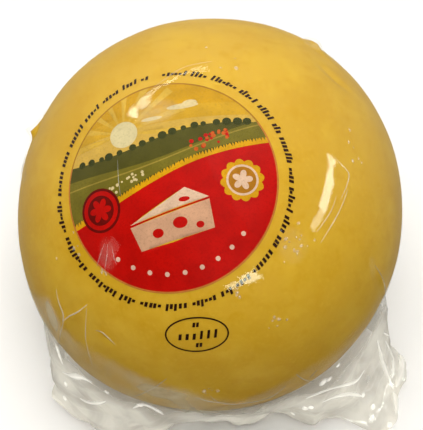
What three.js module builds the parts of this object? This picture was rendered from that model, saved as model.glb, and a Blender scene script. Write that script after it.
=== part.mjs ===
// A ball of young cheese in tight clear film, standing on its own flattened underside.
// The film's spare width hangs from the ball as a crumpled skirt that spreads on the floor,
// and a round label follows the curve of the crown.
// Units are millimetres, +Z is up, and the origin is on the floor under the middle of the ball.
import * as THREE from 'three';

// Ball
const BALL_WIDTH = 150;
const BALL_DEPTH = 154;
const BALL_HEIGHT = 140;
const CENTRE_HEIGHT = 69;
const FOOT_RADIUS = 22;
// An exponent of 2 gives an ellipsoid, and more fills out its shoulders.
const FULLNESS = 2.06;
// Swells and flats that a hand-sized cheese takes from its mould and its own weight:
// azimuth and elevation seen from the middle of the ball, height, and how far each spreads.
const SWELLS = [
  { azimuth: 51, elevation: 24, height: 1.1, spread: 34 },
  { azimuth: -134, elevation: -22, height: 1.2, spread: 26 },
  { azimuth: -36, elevation: -18, height: -1.3, spread: 32 },
  { azimuth: 168, elevation: 30, height: -0.8, spread: 30 },
  { azimuth: 100, elevation: -30, height: 0.9, spread: 30 },
  { azimuth: -80, elevation: 62, height: -0.5, spread: 22 },
];
const BALL_COLUMNS = 60;
const BALL_ROWS = 34;

// Film skirt
const FILM_THICKNESS = 0.9;
const CLEARANCE = 0.35;
const LEAVES_BALL_AT = 35;
const LEAVES_HIGHER_AT_CORNERS_BY = 16;
const HEM_RADIUS = 69;
const HEM_PULLED_IN_AT_FRONT = 12;
const HEM_TURNS_OUT_BY = 5;
// The corners of the spare film, the widest with a point of its own: where each points,
// how far it reaches past the hem, and its angle from the middle to either shoulder.
const CORNERS = [
  { azimuth: -32, reach: 24, halfAngle: 15 },
  { azimuth: -41, reach: 8, halfAngle: 7 },
  { azimuth: -132, reach: 17, halfAngle: 15 },
  { azimuth: 50, reach: 15, halfAngle: 19 },
  { azimuth: 142, reach: 13, halfAngle: 17 },
];
const CORNER_SHOULDER = 6;
const CORNER_TENT = 26;
// Crumples: pleats round the skirt, how far each stands off, and how it drifts on its way down.
const PLEATS = [
  { count: 13, height: 1.9, phase: 0.4, drift: 1.1 },
  { count: 22, height: 1.3, phase: 2.1, drift: -1.7 },
  { count: 35, height: 0.8, phase: 4.4, drift: 2.6 },
];
const HEM_WAVES = [
  { count: 9, height: 1.3, phase: 1.3 },
  { count: 23, height: 1.0, phase: 0.2 },
  { count: 41, height: 0.6, phase: 3.0 },
];
const SKIRT_COLUMNS = 168;
const SKIRT_ROWS = 10;

// Label
const LABEL_RADIUS = 39.2;
const LABEL_THICKNESS = 0.4;
const LABEL_TILT = 23.3;
const LABEL_AZIMUTH = -121.5;
const LABEL_COLUMNS = 48;
const LABEL_ROWS = 6;

// Colours as the materials show them
const CHEESE_COLOUR = 0xdcaa40;
const FILM_COLOUR = 0xd9d6c8;
const LABEL_COLOUR = 0xb5140c;

const HALF_WIDTH = BALL_WIDTH / 2;
const HALF_DEPTH = BALL_DEPTH / 2;
const UPPER_HALF = BALL_HEIGHT - CENTRE_HEIGHT;
const LOWER_HALF = CENTRE_HEIGHT / (1 - (FOOT_RADIUS / HALF_WIDTH) ** FULLNESS) ** (1 / FULLNESS);

function directionOf(azimuth, elevation) {
  const a = THREE.MathUtils.degToRad(azimuth);
  const e = THREE.MathUtils.degToRad(elevation);
  return new THREE.Vector3(Math.cos(e) * Math.cos(a), Math.cos(e) * Math.sin(a), Math.sin(e));
}

const swells = SWELLS.map((swell) => ({
  direction: directionOf(swell.azimuth, swell.elevation),
  height: swell.height,
  spread: THREE.MathUtils.degToRad(swell.spread),
}));

// Distance from the middle of the ball to its rind along a unit direction.
function rindRadius(direction) {
  const halfHeight = direction.z > 0 ? UPPER_HALF : LOWER_HALF;
  const sum =
    Math.abs(direction.x / HALF_WIDTH) ** FULLNESS +
    Math.abs(direction.y / HALF_DEPTH) ** FULLNESS +
    Math.abs(direction.z / halfHeight) ** FULLNESS;
  let radius = sum ** (-1 / FULLNESS);
  for (const swell of swells) {
    const turn = direction.angleTo(swell.direction) / swell.spread;
    radius += swell.height * Math.exp(-turn * turn);
  }
  return radius;
}

// A point on the rind, or lifted off it by a given distance.
function rindPoint(direction, lift = 0) {
  const point = direction.clone().multiplyScalar(rindRadius(direction) + lift);
  point.z += CENTRE_HEIGHT;
  return point;
}

// The direction from the middle of the ball at which the rind reaches a given height.
function directionAtHeight(azimuth, height) {
  let high = 89;
  let low = -89.9;
  for (let step = 0; step < 40; step++) {
    const middle = (high + low) / 2;
    if (rindPoint(directionOf(azimuth, middle)).z > height) {
      high = middle;
    } else {
      low = middle;
    }
  }
  return directionOf(azimuth, (high + low) / 2);
}

// A closed geometry from points and triangles, turned so that its faces point out.
function closedGeometry(points, triangles) {
  let volume = 0;
  for (const [a, b, c] of triangles) {
    volume += points[a].dot(new THREE.Vector3().crossVectors(points[b], points[c]));
  }
  const outward = volume > 0 ? triangles : triangles.map(([a, b, c]) => [a, c, b]);
  const geometry = new THREE.BufferGeometry();
  const positions = points.flatMap((point) => [point.x, point.y, point.z]);
  geometry.setAttribute('position', new THREE.Float32BufferAttribute(positions, 3));
  geometry.setIndex(outward.flat());
  geometry.computeVertexNormals();
  return geometry;
}

// The ball: rows from the crown down to the rim of the foot, and a flat foot inside that rim.
function cheeseBall() {
  const points = [rindPoint(directionOf(0, 90))];
  for (let row = 1; row <= BALL_ROWS; row++) {
    for (let column = 0; column < BALL_COLUMNS; column++) {
      const azimuth = (360 * column) / BALL_COLUMNS;
      const rim = directionAtHeight(azimuth, 0);
      const rimElevation = THREE.MathUtils.radToDeg(Math.asin(rim.z));
      const elevation = THREE.MathUtils.lerp(90, rimElevation, row / BALL_ROWS);
      const point = rindPoint(directionOf(azimuth, elevation));
      points.push(row === BALL_ROWS ? point.setZ(0) : point);
    }
  }
  const crown = 0;
  const foot = points.length;
  points.push(new THREE.Vector3(0, 0, 0));
  const at = (row, column) => 1 + (row - 1) * BALL_COLUMNS + (column % BALL_COLUMNS);
  const triangles = [];
  for (let column = 0; column < BALL_COLUMNS; column++) {
    triangles.push([crown, at(1, column), at(1, column + 1)]);
    triangles.push([foot, at(BALL_ROWS, column + 1), at(BALL_ROWS, column)]);
    for (let row = 1; row < BALL_ROWS; row++) {
      triangles.push([at(row, column), at(row + 1, column), at(row + 1, column + 1)]);
      triangles.push([at(row, column), at(row + 1, column + 1), at(row, column + 1)]);
    }
  }
  return closedGeometry(points, triangles);
}

// A wave with straight flanks and sharp creases, from -1 to 1.
function fold(angle) {
  return (2 / Math.PI) * Math.asin(Math.sin(angle));
}

// 1 within an angle of a corner's middle, 0 well away from it, with a smooth slope between.
function cornerShare(azimuth, corner, halfAngle, slope) {
  const away = Math.abs(((azimuth - corner.azimuth + 540) % 360) - 180);
  return 1 - THREE.MathUtils.smoothstep(away, halfAngle - slope, halfAngle + slope);
}

// How far the hem lies from the middle of the ball.
function hemRadius(azimuth) {
  const turn = THREE.MathUtils.degToRad(azimuth);
  const frontness = Math.max(0, -Math.sin(turn)) ** 2;
  let radius = HEM_RADIUS - HEM_PULLED_IN_AT_FRONT * frontness;
  for (const corner of CORNERS) {
    radius += corner.reach * cornerShare(azimuth, corner, corner.halfAngle, CORNER_SHOULDER);
  }
  for (const wave of HEM_WAVES) {
    radius += wave.height * fold(wave.count * turn + wave.phase);
  }
  return radius;
}

// The height at which the film leaves the ball.
function leavingHeight(azimuth) {
  const shares = CORNERS.map((corner) => cornerShare(azimuth, corner, CORNER_TENT, CORNER_TENT));
  return LEAVES_BALL_AT + LEAVES_HIGHER_AT_CORNERS_BY * Math.max(...shares);
}

// How far the crumples stand off the skirt, never inward.
function crumple(azimuth, share) {
  const turn = THREE.MathUtils.degToRad(azimuth);
  const growth = THREE.MathUtils.smoothstep(share, 0, 0.55);
  let height = 0;
  for (const pleat of PLEATS) {
    height += pleat.height * (1 + fold(pleat.count * turn + pleat.phase + pleat.drift * share));
  }
  return growth * height;
}

// The skirt's inner line at one azimuth, as a curve of radius and height:
// down from the ball, and out along the floor to the hem.
function skirtProfile(azimuth) {
  const start = rindPoint(directionAtHeight(azimuth, leavingHeight(azimuth)), CLEARANCE);
  const startRadius = Math.hypot(start.x, start.y);
  const hem = hemRadius(azimuth);
  const inward = Math.max(startRadius - hem, 0);
  const outward = Math.max(hem - startRadius, 0);
  return new THREE.CubicBezierCurve(
    new THREE.Vector2(startRadius, start.z),
    new THREE.Vector2(startRadius - 0.25 * inward, 0.5 * start.z),
    new THREE.Vector2(startRadius - inward - HEM_TURNS_OUT_BY + 0.35 * outward, 0),
    new THREE.Vector2(hem, 0),
  );
}

// A thin wavy sheet between an inner and an outer face, all round the foot of the ball.
function filmSkirt() {
  const inner = [];
  const outer = [];
  for (let row = 0; row <= SKIRT_ROWS; row++) {
    const share = row / SKIRT_ROWS;
    for (let column = 0; column < SKIRT_COLUMNS; column++) {
      const azimuth = (360 * column) / SKIRT_COLUMNS;
      const turn = THREE.MathUtils.degToRad(azimuth);
      const profile = skirtProfile(azimuth);
      const place = profile.getPoint(share);
      const along = profile.getTangent(share);
      const offRadius = -along.y;
      const offHeight = along.x;
      const stand = crumple(azimuth, share);
      const put = (distance) => {
        const radius = place.x + offRadius * distance;
        const height = place.y + Math.max(offHeight, 0) * distance;
        return new THREE.Vector3(radius * Math.cos(turn), radius * Math.sin(turn), height);
      };
      inner.push(put(stand));
      outer.push(put(stand + FILM_THICKNESS));
    }
  }
  const points = [...inner, ...outer];
  const innerAt = (row, column) => row * SKIRT_COLUMNS + (column % SKIRT_COLUMNS);
  const outerAt = (row, column) => inner.length + innerAt(row, column);
  const triangles = [];
  for (let column = 0; column < SKIRT_COLUMNS; column++) {
    for (let row = 0; row < SKIRT_ROWS; row++) {
      triangles.push([outerAt(row, column), outerAt(row + 1, column), outerAt(row + 1, column + 1)]);
      triangles.push([outerAt(row, column), outerAt(row + 1, column + 1), outerAt(row, column + 1)]);
      triangles.push([innerAt(row, column), innerAt(row + 1, column + 1), innerAt(row + 1, column)]);
      triangles.push([innerAt(row, column), innerAt(row, column + 1), innerAt(row + 1, column + 1)]);
    }
    triangles.push([innerAt(0, column), outerAt(0, column), outerAt(0, column + 1)]);
    triangles.push([innerAt(0, column), outerAt(0, column + 1), innerAt(0, column + 1)]);
    const last = SKIRT_ROWS;
    triangles.push([outerAt(last, column), innerAt(last, column), innerAt(last, column + 1)]);
    triangles.push([outerAt(last, column), innerAt(last, column + 1), outerAt(last, column + 1)]);
  }
  return closedGeometry(points, triangles);
}

// The label: a thin round skin that follows the rind about its own middle direction.
function labelDisc() {
  const middle = directionOf(LABEL_AZIMUTH, 90 - LABEL_TILT);
  const facing = new THREE.Quaternion().setFromUnitVectors(new THREE.Vector3(0, 0, 1), middle);
  const halfAngle = LABEL_RADIUS / rindRadius(middle);
  const layer = (lift) => {
    const points = [rindPoint(middle, lift)];
    for (let row = 1; row <= LABEL_ROWS; row++) {
      for (let column = 0; column < LABEL_COLUMNS; column++) {
        const elevation = 90 - THREE.MathUtils.radToDeg((halfAngle * row) / LABEL_ROWS);
        const direction = directionOf((360 * column) / LABEL_COLUMNS, elevation).applyQuaternion(facing);
        points.push(rindPoint(direction, lift));
      }
    }
    return points;
  };
  const under = layer(CLEARANCE);
  const points = [...under, ...layer(CLEARANCE + LABEL_THICKNESS)];
  const at = (row, column) => 1 + (row - 1) * LABEL_COLUMNS + (column % LABEL_COLUMNS);
  const over = under.length;
  const triangles = [];
  const bothFaces = (a, b, c) => {
    triangles.push([over + a, over + b, over + c]);
    triangles.push([a, c, b]);
  };
  for (let column = 0; column < LABEL_COLUMNS; column++) {
    bothFaces(0, at(1, column), at(1, column + 1));
    for (let row = 1; row < LABEL_ROWS; row++) {
      bothFaces(at(row, column), at(row + 1, column), at(row + 1, column + 1));
      bothFaces(at(row, column), at(row + 1, column + 1), at(row, column + 1));
    }
    const here = at(LABEL_ROWS, column);
    const next = at(LABEL_ROWS, column + 1);
    triangles.push([over + here, here, next]);
    triangles.push([over + here, next, over + next]);
  }
  return closedGeometry(points, triangles);
}

function named(name, geometry, material) {
  const mesh = new THREE.Mesh(geometry, new THREE.MeshStandardMaterial(material));
  mesh.name = name;
  return mesh;
}

const model = new THREE.Group();
model.add(named('cheese_ball', cheeseBall(), { color: CHEESE_COLOUR, roughness: 0.35, metalness: 0 }));
model.add(named('film_skirt', filmSkirt(), { color: FILM_COLOUR, roughness: 0.15, metalness: 0 }));
model.add(named('label', labelDisc(), { color: LABEL_COLOUR, roughness: 0.3, metalness: 0 }));

export default model;
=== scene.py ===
import math
import random

import bpy
import numpy as np
from mathutils import Matrix, Vector, geometry, noise
from mathutils.bvhtree import BVHTree


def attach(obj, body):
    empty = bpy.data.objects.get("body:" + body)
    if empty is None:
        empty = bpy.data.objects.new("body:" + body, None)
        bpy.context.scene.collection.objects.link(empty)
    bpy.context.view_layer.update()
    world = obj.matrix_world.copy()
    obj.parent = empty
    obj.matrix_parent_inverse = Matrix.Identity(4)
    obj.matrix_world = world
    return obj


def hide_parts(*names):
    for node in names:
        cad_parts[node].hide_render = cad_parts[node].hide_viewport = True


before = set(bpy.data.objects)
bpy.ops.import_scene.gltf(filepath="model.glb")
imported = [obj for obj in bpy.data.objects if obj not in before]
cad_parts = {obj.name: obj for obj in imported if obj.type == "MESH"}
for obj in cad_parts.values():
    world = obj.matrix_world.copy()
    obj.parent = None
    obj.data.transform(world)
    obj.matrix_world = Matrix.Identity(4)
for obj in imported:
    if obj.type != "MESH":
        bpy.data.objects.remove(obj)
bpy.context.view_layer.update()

# Lengths in this script are millimetres until a mesh is made, and then metres.
MM = 0.001
BODY = "root"

# Form of the ball, as the solids have it
BALL_WIDTH = 150.0
BALL_DEPTH = 154.0
BALL_HEIGHT = 140.0
CENTRE_HEIGHT = 69.0
FOOT_RADIUS = 22.0
FULLNESS = 2.06
# Azimuth, elevation, height and spread of each swell
SWELLS = (
    (51, 24, 1.1, 34),
    (-134, -22, 1.2, 26),
    (-36, -18, -1.3, 32),
    (168, 30, -0.8, 30),
    (100, -30, 0.9, 30),
    (-80, 62, -0.5, 22),
)

# Form of the spare film, as the solids have it
LEAVES_BALL_AT = 35.0
LEAVES_HIGHER_AT_CORNERS_BY = 16.0
HEM_RADIUS = 69.0
HEM_PULLED_IN_AT_FRONT = 12.0
HEM_TURNS_OUT_BY = 5.0
# Azimuth, reach and half angle of each corner
CORNERS = ((-32, 24, 15), (-41, 8, 7), (-132, 17, 15), (50, 15, 19), (142, 13, 17))
CORNER_SHOULDER = 6.0
CORNER_TENT = 26.0
# Count, height, phase and drift of each set of pleats
PLEATS = ((13, 1.9, 0.4, 1.1), (22, 1.3, 2.1, -1.7), (35, 0.8, 4.4, 2.6))
# Count, height and phase of each wave of the hem
HEM_WAVES = ((9, 1.3, 1.3), (23, 1.0, 0.2), (41, 0.6, 3.0))

# Where the hem shows further out or in than the solid's: azimuth, reach, half angle and slope
HEM_SHOWN = ((-54, 12.0, 5, 4), (-112, 7.5, 8, 6), (-168, -5.5, 12, 8), (-15, -4.0, 6, 5))

# Unevenness of the rind and of the tight film: height, size and seed
RIND_UNEVEN = ((0.24, 21, 3.1), (0.06, 7, 7.7))
FILM_UNEVEN = (0.05, 9, 1.3)
# Layers outside and inside the rind of the solid
CHEESE_LIFT = -0.12
PRINT_LIFT = 0.06
FILM_LIFT = 0.22

# Camera, which looks along +Y and down at the middle of the ball
IMAGE_WIDTH = 423.0
IMAGE_HEIGHT = 430.0
CAMERA_ELEVATION = 60.0
CAMERA_DISTANCE = 600.0
FOCAL_PIXELS = 1531.6
SENSOR = 36.0
BALL_MIDDLE_PIXEL = (210.1, 213.7)

# Label, as the solid has it, and how its print is turned
LABEL_RADIUS = 39.2
LABEL_TILT = 23.3
LABEL_AZIMUTH = -121.5
PRINT_TURN = 9.5

HALF_WIDTH = BALL_WIDTH / 2
HALF_DEPTH = BALL_DEPTH / 2
UPPER_HALF = BALL_HEIGHT - CENTRE_HEIGHT
LOWER_HALF = CENTRE_HEIGHT / (1 - (FOOT_RADIUS / HALF_WIDTH) ** FULLNESS) ** (1 / FULLNESS)
MIDDLE = np.array((0.0, 0.0, CENTRE_HEIGHT))


def direction_of(azimuth, elevation):
    """Unit vectors from angles in degrees."""
    a, e = np.radians(azimuth), np.radians(elevation)
    return np.stack(np.broadcast_arrays(np.cos(e) * np.cos(a), np.cos(e) * np.sin(a), np.sin(e)), -1)


def noise_at(points, size, seed=0.0):
    """Smooth noise from -1 to 1 with features of about a given size."""
    shifted = np.asarray(points).reshape(-1, 3) / size + seed
    values = np.array([noise.noise(p) for p in shifted.tolist()])
    return values.reshape(np.asarray(points).shape[:-1])


def rind_radius(directions):
    """Distance from the middle of the ball to the rind of the solid."""
    half_height = np.where(directions[..., 2] > 0, UPPER_HALF, LOWER_HALF)
    total = (
        np.abs(directions[..., 0] / HALF_WIDTH) ** FULLNESS
        + np.abs(directions[..., 1] / HALF_DEPTH) ** FULLNESS
        + np.abs(directions[..., 2] / half_height) ** FULLNESS
    )
    radius = total ** (-1 / FULLNESS)
    for azimuth, elevation, height, spread in SWELLS:
        near = np.clip(directions @ direction_of(azimuth, elevation), -1, 1)
        radius = radius + height * np.exp(-((np.arccos(near) / math.radians(spread)) ** 2))
    return radius


def rind_points(directions, lift=0.0):
    """Points on the rind, or lifted off it, with the cheese's gentle unevenness."""
    places = directions * HALF_WIDTH
    uneven = sum(height * noise_at(places, size, seed) for height, size, seed in RIND_UNEVEN)
    return directions * (rind_radius(directions) + uneven + lift)[..., None] + MIDDLE


def elevation_at_height(azimuths, height):
    """The elevation at which the rind reaches a height, for each azimuth."""
    low = np.full(azimuths.shape, -89.9)
    high = np.full(azimuths.shape, 89.0)
    for _ in range(40):
        middle = (low + high) / 2
        above = rind_points(direction_of(azimuths, middle))[..., 2] > height
        high = np.where(above, middle, high)
        low = np.where(above, low, middle)
    return (low + high) / 2


# Camera

def make_camera():
    data = bpy.data.cameras.new("camera")
    camera = bpy.data.objects.new("camera", data)
    bpy.context.scene.collection.objects.link(camera)
    data.sensor_width = SENSOR
    data.lens = FOCAL_PIXELS * SENSOR / IMAGE_HEIGHT
    data.shift_x = (IMAGE_WIDTH / 2 - BALL_MIDDLE_PIXEL[0]) / IMAGE_HEIGHT
    data.shift_y = (BALL_MIDDLE_PIXEL[1] - IMAGE_HEIGHT / 2) / IMAGE_HEIGHT
    camera.location = Vector(CAMERA_PLACE) * MM
    camera.rotation_euler = (math.radians(90 - CAMERA_ELEVATION), 0, 0)
    bpy.context.scene.camera = camera


TO_CAMERA = direction_of(-90, CAMERA_ELEVATION)
CAMERA_UP = direction_of(90, 90 - CAMERA_ELEVATION)
CAMERA_RIGHT = np.array((1.0, 0.0, 0.0))
CAMERA_PLACE = MIDDLE + CAMERA_DISTANCE * TO_CAMERA
make_camera()


def pixel_rays(pixels):
    """Unit directions from the camera through pixels of the photograph."""
    pixels = np.asarray(pixels, float)
    across = (pixels[..., 0:1] - BALL_MIDDLE_PIXEL[0]) / FOCAL_PIXELS
    up = (BALL_MIDDLE_PIXEL[1] - pixels[..., 1:2]) / FOCAL_PIXELS
    rays = across * CAMERA_RIGHT + up * CAMERA_UP - TO_CAMERA
    return rays / np.linalg.norm(rays, axis=-1, keepdims=True)


def pixel_directions(pixels):
    """Directions from the middle of the ball to where the rind shows at pixels of the photograph."""
    rays = pixel_rays(pixels)
    nearest = -(rays @ (CAMERA_PLACE - MIDDLE))
    along = nearest - BALL_WIDTH
    for _ in range(60):
        out = CAMERA_PLACE + along[..., None] * rays - MIDDLE
        reach = np.linalg.norm(out, axis=-1)
        gap = reach - rind_radius(out / reach[..., None])
        along = np.minimum(along + 0.8 * gap, nearest)
    out = CAMERA_PLACE + along[..., None] * rays - MIDDLE
    return out / np.linalg.norm(out, axis=-1, keepdims=True)


def rind_normal(direction):
    """The rind's outward normal at one direction."""
    side = np.cross(direction, (0.0, 0.0, 1.0))
    side = side / max(np.linalg.norm(side), 1e-9)
    other = np.cross(side, direction)
    step = 0.01
    here = rind_points(direction[None])[0]
    edges = []
    for tangent in (side, other):
        moved = direction + step * tangent
        edges.append(rind_points((moved / np.linalg.norm(moved))[None])[0] - here)
    normal = np.cross(*edges)
    normal = normal / np.linalg.norm(normal)
    return normal if normal @ direction > 0 else -normal


# Meshes

def make_piece(name, points, faces, materials, slot, smooth=True, face_materials=None):
    """A mesh object from points in millimetres, riding on the part's one body."""
    mesh = bpy.data.meshes.new(name)
    mesh.from_pydata([tuple(p) for p in np.asarray(points) * MM], [], [tuple(f) for f in faces])
    for material in materials:
        mesh.materials.append(material)
    if face_materials is not None:
        mesh.polygons.foreach_set("material_index", np.asarray(face_materials, np.int32))
    mesh.polygons.foreach_set("use_smooth", [smooth] * len(mesh.polygons))
    mesh.validate()
    mesh.update()
    piece = bpy.data.objects.new(name, mesh)
    bpy.context.scene.collection.objects.link(piece)
    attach(piece, BODY)
    # Light passes through thin film
    piece.visible_shadow = slot != "film"
    return piece


def ring_faces(rows, columns, first=0):
    """Quads between rings of points, each ring closed on itself."""
    faces = []
    for row in range(rows):
        for column in range(columns):
            a = first + row * columns + column
            b = first + row * columns + (column + 1) % columns
            faces.append((a, a + columns, b + columns, b))
    return faces


def fold(angle):
    """A wave with straight flanks and sharp creases, from -1 to 1."""
    return 2 / math.pi * np.arcsin(np.sin(angle))


def smoothstep(value, low, high):
    share = np.clip((value - low) / (high - low), 0, 1)
    return share * share * (3 - 2 * share)


# Materials

# Films: what passes through, colour of the haze, share of it in darker clouds, roughness, strength
# of the wrinkles, share mirrored head on, and wrinkles per metre
FILMS = {
    "film_tight": ((0.99, 0.99, 0.985), (0.64, 0.61, 0.47), 0.90, 0.050, 0.08, 0.035, 420),
    "film_loose": ((0.90, 0.90, 0.885), (0.62, 0.598, 0.528), 0.78, 0.13, 1.0, 0.10, 170),
    # Doubled film is milkier, and its whiter haze also paints glints on the folds, knots and bubbles
    "film_doubled": ((0.985, 0.985, 0.97), (0.80, 0.785, 0.730), 0.90, 0.12, 0.4, 0.08, 300),
}
CLOUDS_PER_METRE = 62
WRINKLE_HEIGHT = 0.13
EDGE_MIRROR = 0.12
EDGE_STEEPNESS = 5.0
INK_BLACK = (0.034, 0.010, 0.005)
INK_PATCHES_PER_METRE = 130
INK_DOTS_PER_METRE = 1300


def add_node(tree, kind, **inputs):
    """A shader node with its inputs linked or set. In their names an underscore is a space."""
    node = tree.nodes.new("ShaderNode" + kind)
    for name, value in inputs.items():
        socket = node.inputs[name.replace("_", " ")]
        if isinstance(value, bpy.types.NodeSocket):
            tree.links.new(value, socket)
        else:
            socket.default_value = value
    return node


def new_material(name):
    """A material with an empty node tree."""
    material = bpy.data.materials.new(name)
    material.use_nodes = True
    material.node_tree.nodes.clear()
    return material, material.node_tree


def noise_value(tree, scale, detail=3.0, distortion=0.0):
    """Noise that is fixed to the piece, at a number of features per metre."""
    place = add_node(tree, "TexCoord").outputs["Object"]
    texture = add_node(tree, "TexNoise", Vector=place, Scale=scale, Detail=detail, Distortion=distortion)
    return texture.outputs["Fac"]


def mixed_colour(tree, value, first, second, low=0.35, high=0.65):
    """A colour between two, by a value between low and high."""
    spread = add_node(tree, "MapRange", Value=value, From_Min=low, From_Max=high)
    mix = tree.nodes.new("ShaderNodeMix")
    mix.data_type = "RGBA"
    tree.links.new(spread.outputs["Result"], mix.inputs["Factor"])
    for socket, colour in ((mix.inputs["A"], first), (mix.inputs["B"], second)):
        if isinstance(colour, tuple):
            socket.default_value = (*colour, 1)
        else:
            tree.links.new(colour, socket)
    return mix.outputs["Result"]


def mixed_shader(tree, share, first, second):
    mix = add_node(tree, "MixShader", Fac=share)
    tree.links.new(first.outputs[0], mix.inputs[1])
    tree.links.new(second.outputs[0], mix.inputs[2])
    return mix


def bump_normal(tree, height, strength, distance):
    return add_node(tree, "Bump", Height=height, Strength=strength, Distance=distance).outputs["Normal"]


def cheese_material():
    """Rind with a painted sheen that pales it towards the crown, deeper low down, with patches and
    flecks.
    """
    material, tree = new_material("cheese")
    place = add_node(tree, "TexCoord").outputs["Object"]
    height = add_node(tree, "SeparateXYZ", Vector=place).outputs["Z"]
    # Painted sheen: the colour pales from low down to the crown, as overhead light makes it look
    tone = mixed_colour(tree, height, CHEESE_LOW, CHEESE_HIGH_PAINTED_SHEEN, *CHEESE_SHEEN_HEIGHTS)
    for *texture, colour, low, high in CHEESE_LAYERS:
        tone = mixed_colour(tree, noise_value(tree, *texture), tone, colour, low, high)
    shader = add_node(
        tree, "BsdfPrincipled", Base_Color=tone, Roughness=0.5, Specular_IOR_Level=0.15,
        Subsurface_Weight=0.12, Subsurface_Radius=(1.0, 0.6, 0.2), Subsurface_Scale=0.004,
        Normal=bump_normal(tree, noise_value(tree, *CHEESE_BUMP), 0.25, 0.0006),
    )
    add_node(tree, "OutputMaterial", Surface=shader.outputs[0])
    return material


def film_material(name):
    """Clear film: what is behind it shows, under the film's painted haze and its shine."""
    clear, haze_colour, darker, roughness, bump, mirror, wrinkles = FILMS[name]
    material, tree = new_material(name)
    clouds = noise_value(tree, CLOUDS_PER_METRE, 3.0, 0.8)
    cloudy = mixed_colour(tree, clouds, haze_colour, tuple(darker * c for c in haze_colour), 0.42, 0.62)
    normal = bump_normal(tree, noise_value(tree, wrinkles, 3.0, 0.6), bump, WRINKLE_HEIGHT / wrinkles)
    through = add_node(tree, "BsdfTransparent", Color=(*clear, 1))
    milky = add_node(tree, "BsdfDiffuse", Color=cloudy)
    shine = add_node(tree, "BsdfGlossy", Color=(1, 1, 1, 1), Roughness=roughness, Normal=normal)
    painted = tree.nodes.new("ShaderNodeAttribute")
    painted.attribute_name = "haze"
    hazy = mixed_shader(tree, painted.outputs["Fac"], through, milky)
    # The share that is mirrored, which rises towards the film's edges on both of its faces
    edge = add_node(tree, "LayerWeight", Blend=0.5, Normal=normal)
    steep = tree.nodes.new("ShaderNodeMath")
    steep.operation = "POWER"
    steep.inputs[1].default_value = EDGE_STEEPNESS
    tree.links.new(edge.outputs["Facing"], steep.inputs[0])
    share = add_node(tree, "MapRange", Value=steep.outputs[0], To_Min=mirror, To_Max=EDGE_MIRROR)
    both = mixed_shader(tree, share.outputs["Result"], hazy, shine)
    add_node(tree, "OutputMaterial", Surface=both.outputs[0])
    return material


def print_material(name, colour, darker=0.82, roughness=0.45):
    """Printed ink, a little uneven."""
    material, tree = new_material(name)
    second = tuple(c * darker for c in colour)
    dots = tuple(c * 0.75 for c in second)
    even = mixed_colour(tree, noise_value(tree, INK_PATCHES_PER_METRE), colour, second)
    tone = mixed_colour(tree, noise_value(tree, INK_DOTS_PER_METRE, 1.0), even, dots, 0.50, 1.0)
    surface = {"Base_Color": tone, "Roughness": roughness, "Specular_IOR_Level": 0.12}
    shader = add_node(tree, "BsdfPrincipled", **surface)
    add_node(tree, "OutputMaterial", Surface=shader.outputs[0])
    return material


# Cheese

CHEESE_COLUMNS = 420
CHEESE_ROWS = 200
CHEESE_IN_RIDGES = 0.55
# Colour low down, and a paler colour higher up that carries a painted sheen of overhead light
CHEESE_LOW = (0.565, 0.330, 0.0025)
CHEESE_HIGH_PAINTED_SHEEN = (0.590, 0.355, 0.034)
CHEESE_DEEP = (0.520, 0.285, 0.002)
CHEESE_PALE = (0.635, 0.395, 0.028)
# Heights between which the painted sheen comes in
CHEESE_SHEEN_HEIGHTS = (0.070, 0.135)
# Patches and flecks: noise scale, detail and distortion, colour, and where it starts and is full
CHEESE_LAYERS = (
    (16, 2.0, 0.4, CHEESE_DEEP, 0.40, 0.80),
    (55, 3.0, 0.2, CHEESE_PALE, 0.46, 0.80),
    (190, 4.0, 0.3, CHEESE_DEEP, 0.50, 0.95),
    (700, 2.0, 0.0, CHEESE_PALE, 0.52, 1.1),
)
CHEESE_BUMP = (55, 3.0, 0.2)
# Dents of the rind: x and y in the photograph and depth along each, then half width
DENTS = {
    "below_bump": (((316, 60, 0.0), (328, 71, -0.8), (339, 81, -0.9), (352, 93, 0.0)), 2.2),
    "beside_bend": (((98, 336, 0.0), (106, 339, -0.4), (113, 348, 0.0)), 1.6),
}


def make_cheese():
    azimuths = np.linspace(0, 360, CHEESE_COLUMNS, endpoint=False)
    rim = elevation_at_height(azimuths, 0.0)
    shares = np.linspace(0, 1, CHEESE_ROWS + 1)[1:, None]
    directions = direction_of(azimuths[None, :], 90 + shares * (rim[None, :] - 90))
    points = rind_points(directions, CHEESE_LIFT)
    relief = ridge_lift(points, DENTS) + CHEESE_IN_RIDGES * ridge_lift(points, RIDGES)
    points = points + directions * relief[..., None]
    points[-1, :, 2] = 0
    points[..., 2] = np.maximum(points[..., 2], 0)
    top = rind_points(direction_of(0, 90)[None], CHEESE_LIFT)
    flat = points.reshape(-1, 3)
    foot = np.array([[0.0, 0.0, 0.0]])
    everything = np.concatenate([top, flat, foot])
    faces = ring_faces(CHEESE_ROWS - 1, CHEESE_COLUMNS, 1)
    last = 1 + (CHEESE_ROWS - 1) * CHEESE_COLUMNS
    foot_index = len(everything) - 1
    for column in range(CHEESE_COLUMNS):
        after = (column + 1) % CHEESE_COLUMNS
        faces.append((0, 1 + column, 1 + after))
        faces.append((last + after, last + column, foot_index))
    piece = make_piece("cheese", everything, faces, [cheese_material()], "cheese")
    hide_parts("cheese_ball")


# Film

FILM_COLUMNS = 660
WRAP_ROWS = 140
SKIRT_ROWS = 130

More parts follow.
